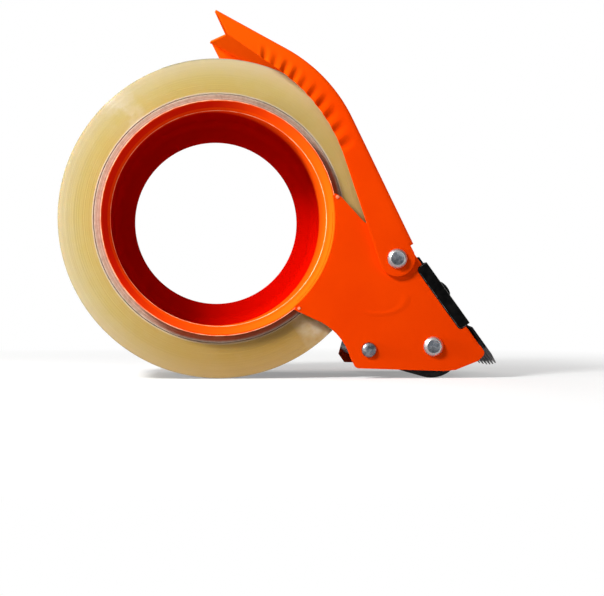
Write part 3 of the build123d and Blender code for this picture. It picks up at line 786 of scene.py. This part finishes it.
along_grip, flat_half = Vector((grip_out.y, -grip_out.x)), hood_half - fold_round
folds = [radians(90 * k / fold_columns) for k in range(fold_columns)]
fold = [(flat_half + fold_round * sin(turn), fold_round * (1 - cos(turn))) for turn in folds]
strip = [(flat_half * (2 * k / strip_columns - 1), 0.0) for k in range(1, strip_columns)]
section = [(-y, depth) for y, depth in fold[::-1]] + strip + fold

rows = []
for index, (top, edge) in enumerate(rails):
    drop, first_share = (edge - top).normalized(), fold_round / (edge - top).length
    near, far = (flange_points(top, edge, side, first_share) for side in (-1, 1))
    tail = max(0.0, 1 - index / grip_rows) * tail_notch
    middle = []
    for y, depth in section:
        notch = tail * (1 - abs(y) / hood_half)
        middle.append(hood_point(top + drop * depth + along_grip * notch, y, 0.0, 0.0, 0.0))
    rows.append(near + middle + far[::-1])

lug_near, lug_far = [rows[-1][:flange_columns]], [rows[-1][-flange_columns:][::-1]]
for top, edge in lug_rails:
    lug_near.append(flange_points(top, edge, -1, 0.0))
    lug_far.append(flange_points(top, edge, 1, 0.0))
for grid, flip in ((rows, False), (lug_near, False), (lug_far, True)):
    skin(bm, grid, flip=flip)
bmesh.ops.remove_doubles(bm, verts=bm.verts, dist=1e-7)
bm.normal_update()
uppermost = max(bm.faces, key=lambda f: f.calc_center_median().z)
if uppermost.normal.z < 0:
    bmesh.ops.reverse_faces(bm, faces=bm.faces)
hood_piece = piece_from("bent_hood", bm)
print("hood sheet:", len(hood_piece.data.polygons), "faces")

# %% [markdown]
# ## Crimps by Geometry Nodes
# Ten crimps run along the flange's free edge on the bend. They repeat by a rule, so a Geometry Nodes tree makes them:
# it reads how far round the bend each point lies, crowds the row a little towards the grip, finds the distance to the
# nearest crimp, and pushes the sheet in there and slightly out between. The push fades towards the fold and differs
# from crimp to crimp. Solidify then gives the sheet its thickness and a bevel rounds the cut edges. The bevel's faces
# get a second material slot, which tells them apart just long enough to mark them as edge faces. The enamel paints
# these pale, partly as wear and partly as a painted highlight.


# %% Tree helpers
def finish_tree(wiring, geometry, given, result):
    """Ends a tree with real geometry that carries its material."""
    real = wiring.out("GeometryNodeRealizeInstances", {"Geometry": geometry})
    dressed = wiring.out("GeometryNodeSetMaterial", {"Geometry": real, "Material": given["Material"]})
    wiring.feed(result, Geometry=dressed)


def run_tree(piece, tree, **values):
    modifier = piece.modifiers.new(tree.name, "NODES")
    modifier.node_group = tree
    sockets = {item.name: item.identifier for item in tree.interface.items_tree if item.in_out == "INPUT"}
    for key, value in values.items():
        modifier[sockets[key]] = value


def named_value(wiring, name):
    return wiring.out("GeometryNodeInputNamedAttribute", {"Name": name}, "Attribute", data_type="FLOAT")


print("tree helpers ready")

# %% Crimp tree
crimp_row, wire, given, result = new_group(
    "crimp_row", "GeometryNodeTree", ("Geometry",), Geometry=None, First_Angle=74.3, Last_Angle=30.2, Count=10.0,
    Width=0.31, Crowding=0.08, Depth=0.0008, Lift=0.00025, Fade_Start=3.5, Fade_End=1.0, Material=None)
angle = named_value(wire, "hub_angle")
along = wire.span(angle, given["First Angle"], given["Last Angle"], clamp=False)
crowded = wire.times(wire.math("SINE", wire.times(along, pi)), given["Crowding"])
order = wire.times(wire.plus(along, crowded), wire.minus(given["Count"], 1.0))
near_crimp = wire.math("DIVIDE", wire.math("PINGPONG", order, 0.5), given["Width"])
groove = wire.math("POWER", 2.718, wire.times(near_crimp, near_crimp, -1.0))
push = wire.minus(wire.times(groove, given["Depth"]), wire.times(wire.minus(1.0, groove), given["Lift"]))
before, after_last = (
    wire.span(angle, wire.math(way, limit, given["Fade Start"]), wire.math(way, limit, given["Fade End"]))
    for way, limit in (("ADD", given["First Angle"]), ("SUBTRACT", given["Last Angle"]))
)
chance = wire.out("ShaderNodeTexWhiteNoise", {"W": wire.math("ROUND", order)}, "Value", noise_dimensions="1D")
uneven = wire.span(chance, 0.0, 1.0, 0.55, 1.15)
reach_here, side_here = named_value(wire, "crimp_reach"), named_value(wire, "crimp_side")
inward = wire.times(push, before, after_last, uneven, reach_here, side_here, -1.0)
shift = wire.out("ShaderNodeCombineXYZ", {"Y": inward})
crimped = wire.out("GeometryNodeSetPosition", {"Geometry": given["Geometry"], "Offset": shift})
finish_tree(wire, crimped, given, result)
print("crimp tree:", len(crimp_row.nodes), "nodes")

# %% Crimped hood
run_tree(hood_piece, crimp_row, Material=orange_enamel)
hollow_shade_and_sheet = hood_piece.modifiers.new("sheet", "SOLIDIFY")
hollow_shade_and_sheet.thickness, hollow_shade_and_sheet.offset, hollow_shade_and_sheet.use_even_offset = hood_sheet * MM, -1.0, True
rounding = hood_piece.modifiers.new("cut_edges", "BEVEL")
rounding.width, rounding.segments, rounding.angle_limit = 0.24 * MM, 3, radians(50)
for material in (orange_enamel, orange_enamel):
    hood_piece.data.materials.append(material)
rounding.material = 1
settle(hood_piece)
# The bevel's faces are marked as edge faces, so the enamel paints them pale: partly wear, partly a painted highlight.
on_edge = hood_piece.data.attributes.new("edge", "FLOAT", "FACE")
on_edge.data.foreach_set("value", [float(face.material_index) for face in hood_piece.data.polygons])
hood_piece.data.polygons.foreach_set("material_index", [0] * len(hood_piece.data.polygons))
smooth(hood_piece.data)
place_piece(hood_piece, "hood", orange_enamel, "hood")

# %% [markdown]
# ## Rivets, washers, screws, nuts and bushes by Geometry Nodes
# Each of these comes in a pair. One is made at the origin, and a tree puts copies of it on a line of points: it takes
# the first point, the step to the next and the turn of each copy. The far rivet is the near one turned by half a turn
# about the vertical.


# %% Repeating tree
repeat_along, wire, given, result = new_group(
    "repeat_along", "GeometryNodeTree", ("Geometry",), Geometry=None, Count=2, First=(0, 0, 0), Step=(0, 0, 0),
    Turn=(0, 0, 0), Material=None)
line = {"Count": given["Count"], "Start Location": given["First"], "Offset": given["Step"]}
spots = wire.out("GeometryNodeMeshLine", line, mode="OFFSET")
number = wire.out("GeometryNodeInputIndex")
turn = wire.out("ShaderNodeVectorMath", {0: given["Turn"], "Scale": number}, operation="SCALE")
rotation = wire.out("FunctionNodeEulerToRotation", {0: turn})
copying = {"Points": spots, "Instance": given["Geometry"], "Rotation": rotation}
finish_tree(wire, wire.out("GeometryNodeInstanceOnPoints", copying), given, result)


def repeat_piece(piece, body, material, cad_node, first, step=(0, 0, 0), turn=(0, 0, 0)):
    run_tree(piece, repeat_along, Count=2, First=[v * MM for v in first], Step=[v * MM for v in step], Turn=turn,
             Material=material)
    settle(piece)
    smooth(piece.data)
    place_piece(piece, body, material, cad_node)


print("repeating tree:", len(repeat_along.nodes), "nodes")

# %% Rivets, washers and bushes
half_turn = (0, 0, pi)
press_centre, guide_centre = (71.1, -42.4), (49.5, -43.5)
head_radius, head_height = 3.3, 1.4
pin_radius, pin_gap, tail_rim = 2.0, 0.02, 0.9
washer_radius, washer_top = 4.4, 27.5
tube_outer, tube_inner, tube_half = 7.5, 6.0, 24.6
bush_bore, bush_body, bush_flange_radius, bush_flange, bush_depth = 2.57, 5.98, 7.2, 0.7, 8.0
hinge_line, press_line = (hinge.x, 0, hinge.y), (press_centre[0], 0, press_centre[1])


def set_head(seat, outward):
    """Outline of a coned rivet head with the flat and dimple that the setting tool leaves, from rim to middle."""
    points = [(1.0, 0.0), (1.0, 0.25 * head_height), (0.95, 0.4 * head_height), (0.76, 0.94 * head_height),
              (0.71, head_height), (0.65, head_height - 0.08), (0.35, head_height - 0.06), (0.18, head_height - 0.16),
              (0.0, head_height - 0.18)]
    return [(head_radius * r, seat + outward * h) for r, h in points]


# The head's rim and cone are marked as edge faces, so the zinc paints them pale: partly wear, partly a painted
# highlight ring.
near_rim = range(3, 8)
rivet_seat, tail_end = hood_half + 0.05, head_height - plate_inner
rivet_outline = set_head(-rivet_seat, -1)[::-1] + [
    (pin_radius, -rivet_seat), (pin_radius, -plate_inner), (head_radius, -plate_inner),
    (head_radius, tail_rim - plate_inner), (2.7, tail_end), (0, tail_end),
]
rivet = turned("pivot_rivet_pair", rivet_outline, segments=64, closed=False, edges=near_rim)
repeat_piece(rivet, "frame", zinc_plate, "pivot_rivets", hinge_line, turn=half_turn)
washer_bore = pin_radius + pin_gap
washer_outline = ring_outline(washer_radius, washer_bore, -plate_outer, -washer_top, [0.08, 0, 0, 0.08], 2)
repeat_piece(turned("pivot_washer_pair", washer_outline, segments=64), "frame", zinc_plate,
             "pivot_washers", hinge_line, turn=half_turn)
flange_y, bush_end = -tube_half - bush_flange, bush_depth - tube_half
bush_outline = rounded([(bush_bore, flange_y), (bush_flange_radius, flange_y), (bush_flange_radius, -tube_half),
                        (bush_body, -tube_half), (bush_body, bush_end), (bush_bore, bush_end)],
                       [0.2, 0.2, 0, 0, 0.2, 0], steps=3)
repeat_piece(turned("nylon_bush_pair", bush_outline, segments=64), "press_roller", natural_nylon,
             "press_bushes", press_line, turn=half_turn)

# %% Clamp screws and nuts
screw_place, screw_half_spacing = 63.6, 19.0
front_distance, front_sheet, blade_sheet, clamp_sheet, clamp_gap = 45.75, 1.2, 0.8, 0.8, 0.02
head_seat, wall_back = front_distance + blade_sheet + clamp_gap + clamp_sheet, front_distance - front_sheet
slope_turn = out_of_slope.to_track_quat("Z", "Y").to_matrix().to_4x4()


def place_on_slope(piece, material, cad_node, distance):
    """Turns a piece that was spun about Y so that its -Y end points out of the slanted front, and repeats it there."""
    piece.data.transform(slope_turn @ Matrix.Rotation(radians(-90), 4, "X"))
    piece.data.update()
    spot = screw_place * down_slope + distance * out_of_slope
    repeat_piece(piece, "frame", material, cad_node, (spot.x, -screw_half_spacing, spot.z),
                 step=(0, 2 * screw_half_spacing, 0))


def thread_outline(top, bottom, pitch=0.7, outer=1.95, inner=1.6):
    points = []
    for k in range(int((bottom - top) / pitch)):
        points += [(inner, top + k * pitch), (outer, top + (k + 0.5) * pitch)]
    return points + [(inner, bottom - 0.4), (inner - 0.4, bottom), (0.0, bottom)]


screw_head, nut_height, screw_tail = 1.9, 3.2, 2.2
shank = head_seat - wall_back + nut_height + screw_tail
screw_outline = [(0.0, -screw_head), (1.4, -screw_head), (2.3, 0.25 - screw_head), (2.9, 0.7 - screw_head),
                 (3.2, 1.3 - screw_head), (3.2, 0.0), (1.95, 0.0)] + thread_outline(0.2, shank)
screw = turned("clamp_screw_pair", screw_outline, segments=48, closed=False)
slot_half, slot_floor, slot_turn = 0.45 * MM, (0.8 - screw_head) * MM, radians(20)
for vertex in screw.data.vertices:
    off_slot = abs(vertex.co.x * cos(slot_turn) + vertex.co.z * sin(slot_turn))
    if vertex.co.y < slot_floor and off_slot < slot_half:
        vertex.co.y = slot_floor
place_on_slope(screw, black_oxide, "clamp_screws", head_seat)

nut_bore, nut_round, nut_flat, sixth = 1.97, 4.04, 3.5, pi / 3
nut = turned("clamp_nut_pair", ring_outline(nut_bore, nut_round, 0.0, nut_height, [0.3, 0, 0, 0.3], 2), segments=48)
for vertex in nut.data.vertices:
    flat = Vector((vertex.co.x, vertex.co.z))
    if flat.length > 3.0 * MM:
        corner = (atan2(flat.y, flat.x) + sixth / 2) % sixth - sixth / 2
        scale = nut_flat * MM / cos(corner) / flat.length
        vertex.co.x, vertex.co.z = vertex.co.x * scale, vertex.co.z * scale
place_on_slope(nut, zinc_plate, "clamp_nuts", wall_back)

# %% [markdown]
# ## Axles and rollers
# The press roller lays the tape down: a rubber sleeve on a steel tube, on a riveted axle. The guide roller is a plain
# steel sleeve on a thin round-headed pin. All are turned pieces, so all are spun outlines with the small radii that
# turning and moulding leave at the ends.

# %% Axles and rollers
axle_radius, guide_pin_radius, guide_head, guide_rise = 2.5, 1.6, 2.55, 1.3
axle_outline = set_head(-plate_outer, -1)[::-1] + [(axle_radius, -plate_outer), (axle_radius, plate_outer)]
axle = turned("press_axle_stud", axle_outline + set_head(plate_outer, 1), press_centre, 64, closed=False,
              edges=[*near_rim, *range(11, 16)])
place_piece(axle, "frame", zinc_plate, "press_axle")
dome = [(guide_head * cos(radians(d)), plate_outer + 0.1 + guide_rise * sin(radians(d))) for d in range(0, 91, 10)]
half_pin = [(guide_pin_radius, plate_outer), (guide_head, plate_outer)] + dome
pin_outline = [(r, -y) for r, y in half_pin[::-1]] + half_pin
place_piece(turned("guide_pin_stud", pin_outline, guide_centre, 64, closed=False), "frame", zinc_plate, "guide_pin")

for name, centre, inner, outer, half, radii, steps, segments, body, material, cad_node in (
    ("press_roller_tube", press_centre, tube_inner, tube_outer, tube_half, [0.2] * 4, 2, 96,
     "press_roller", zinc_plate, "press_tube"),
    ("press_roller_sleeve", press_centre, 7.52, 10.59, 24.0, [0.1, 0.7, 0.7, 0.1], 4, 128,
     "press_roller", black_rubber, "press_sleeve"),
    ("guide_roller_sleeve", guide_centre, 1.67, 3.0, 25.3, [0.3, 0.5, 0.5, 0.3], 3, 96,
     "guide_roller", zinc_plate, "guide_roller"),
):
    outline = ring_outline(inner, outer, -half, half, radii, steps)
    place_piece(turned(name, outline, centre, segments), body, material, cad_node)

# %% [markdown]
# ## Tape and core
# A wound roll's side is never flat: each layer stands a hair above or below the next. The tape's outline therefore
# steps up and down by a few hundredths of a millimetre from layer to layer, from a fixed random seed, and is then
# spun. The outermost layer is a film of its own, which lifts a tenth of a millimetre and ends in the zigzag cut that
# the blade leaves.

# %% Wound tape
random.seed(7)
half_width, layer_steps = 24.0, 44
inner_radius, first_layer, shy, under_film = 41.12, 41.35, 0.8, rim_radius - 0.12


def wound_side(sign):
    """Outline of one side of the roll, from the core to the rim."""
    points = []
    for k in range(layer_steps + 1):
        r = first_layer + (rim_radius - 0.15 - first_layer) * k / layer_steps
        points.append((r, sign * (half_width - random.uniform(0.0, 0.05))))
    return points


tape_outline = [(inner_radius, shy - half_width)] + wound_side(-1)
tape_outline += [(under_film, 0.15 - half_width), (under_film, half_width - 0.15)]
tape_outline += wound_side(1)[::-1] + [(inner_radius, half_width - shy)]
place_piece(turned("wound_tape", tape_outline, segments=192), "roll", amber_tape, "tape_roll")

# %% Last film
film_start, film_stop, cut_pitch, cut_depth, film_steps = 40.0, 112.0, 3.4, 3.2, 40
film_half, film_sink, film_lift, film_sheet = half_width - 0.2, 0.02, 0.13, 0.05
teeth_across = 2 * round(2 * film_half / cut_pitch)
bm = bmesh.new()
film_rows = []
for k in range(teeth_across + 1):
    y = -film_half + 2 * film_half * k / teeth_across
    row_stop = film_stop - degrees(cut_depth / rim_radius) * (k % 2)
    row = []
    for share in (s / film_steps for s in range(film_steps + 1)):
        angle = radians(film_start + (row_stop - film_start) * share)
        row.append(bm.verts.new(round_axis(under_film - film_sink + film_lift * share, y, angle)))
    film_rows.append(row)
skin(bm, film_rows)
last_film = piece_from("last_film", bm)
sheet_of_film = last_film.modifiers.new("film", "SOLIDIFY")
sheet_of_film.thickness, sheet_of_film.offset = film_sheet * MM, 0.0
settle(last_film)
place_piece(last_film, "roll", amber_tape, "tape_roll")

# %% Cardboard core
bore, bore_round, ply, ply_step = 38.1, 38.3, 0.38, 0.05
core_outline = [(bore, 0.2 - half_width), (bore_round, -half_width)]
for k in range(1, 8):
    core_outline.append((bore_round + ply * k, -half_width + (ply_step if k % 2 else 0.0)))
core_outline += [(core_radius, ply_step - half_width), (core_radius, half_width - ply_step)]
core_outline += [(r, -y) for r, y in core_outline[-3:1:-1]] + [(bore_round, half_width), (bore, half_width - 0.2)]
place_piece(turned("cardboard_core", core_outline, segments=192), "roll", wound_board, "tape_core")

# %% [markdown]
# ## Floor and light
# The floor is a wide pale sheet. The camera sees it mixed with plain white, so it runs into the white background
# without a horizon and still takes the tool's shadow. Towards the tool it is a darker grey, because a white one would
# light the drum's deep red hollow from below. The key lamp stands at the upper left in front, where the photograph's
# lip throws its shadow from. A weak lamp in front lifts its shadows, a rear lamp and a fill light the hood and the
# edges, a small low one at the left lights the underside of the hood, and the world lights the rest evenly. In
# mirror-like reflections the room is bright at the left, dimmer at the right and behind the camera, and dark behind
# the tool, as a room with one window is, so rivets get a dark middle in a bright rim. All lamps but the key stay out
# of reflections, or they would lay a pale veil over the rivets.

# %% Floor
floor_half, floor_z = 4.0, cad_box[0].z
bm = bmesh.new()
bmesh.ops.create_grid(bm, x_segments=1, y_segments=1, size=floor_half)
bmesh.ops.translate(bm, verts=bm.verts, vec=(0, 0, floor_z))
floor = piece_from("floor", bm)
pale, wire, surface = finish("pale_floor", Roughness=0.9)
rays = wire.node("ShaderNodeLightPath").outputs
wire.feed(surface, Base_Color=wire.mix(rays["Is Camera Ray"], (0.30, 0.30, 0.30, 1), (0.88, 0.88, 0.87, 1)))
place = wire.place()
far_off = wire.span(wire.vector("LENGTH", place), 0.08, 0.32, 0.3, 1.0)
in_front = wire.span(wire.parts(place)["Y"], -0.10, 0.02, 0.5, 0.03)
seen = wire.math("MAXIMUM", rays["Is Camera Ray"], wire.times(rays["Is Glossy Ray"], in_front))
white = wire.out("ShaderNodeEmission", {"Color": (1, 1, 1, 1), "Strength": 1.0})
matt = wire.tree.nodes["Principled BSDF"].outputs[0]
blend = wire.out("ShaderNodeMixShader", {0: wire.times(seen, far_off), 1: matt, 2: white})
wire.feed(wire.tree.nodes["Material Output"].inputs, Surface=blend)
floor.data.materials.append(pale)
print("floor at", round(floor_z / MM, 2), "mm")

# %% World and lamps
world = bpy.data.worlds.new("studio")
scene.world = world
world.use_nodes = True
wire = Wiring(world.node_tree)
rays = wire.node("ShaderNodeLightPath").outputs
towards = wire.parts(wire.out("ShaderNodeTexCoord", output="Generated"))
from_front = wire.span(towards["Y"], -1.0, 1.0)
walls = wire.ramp(from_front, [(0.0, 0.16), (0.3, 0.9), (0.55, 0.6), (0.8, 0.04), (1.0, 0.02)])
window = wire.span(towards["X"], -0.6, 0.6, 1.0, 0.12)
mirrored = wire.times(wire.math("MAXIMUM", rays["Is Glossy Ray"], rays["Is Transmission Ray"]), walls, window)
seen = wire.math("MAXIMUM", rays["Is Camera Ray"], mirrored)
wire.feed(wire.tree.nodes["Background"].inputs, Color=(1, 1, 1, 1), Strength=wire.span(seen, 0.0, 1.0, 0.10, 1.0))

aim = Vector((0.01, 0, 0))
for name, stand, size, power in (
    ("key", (-0.33, -0.255, 0.30), 0.12, 3.9),
    ("front", (0.02, -0.75, 0.02), 0.50, 1.0),
    ("rear", (-0.46, 0.70, 0.50), 0.40, 2.0),
    ("fill", (0.85, 0.02, 0.25), 0.40, 4.0),
    ("bounce", (-0.50, -0.10, 0.02), 0.10, 2.1),
):
    lamp = bpy.data.lights.new(name, "AREA")
    lamp.shape, lamp.size, lamp.energy = "DISK", size, power
    lit = bpy.data.objects.new(name, lamp)
    lit.location = stand
    lit.rotation_euler = (aim - Vector(stand)).to_track_quat("-Z", "Y").to_euler()
    lit.visible_glossy = name == "key"
    scene.collection.objects.link(lit)
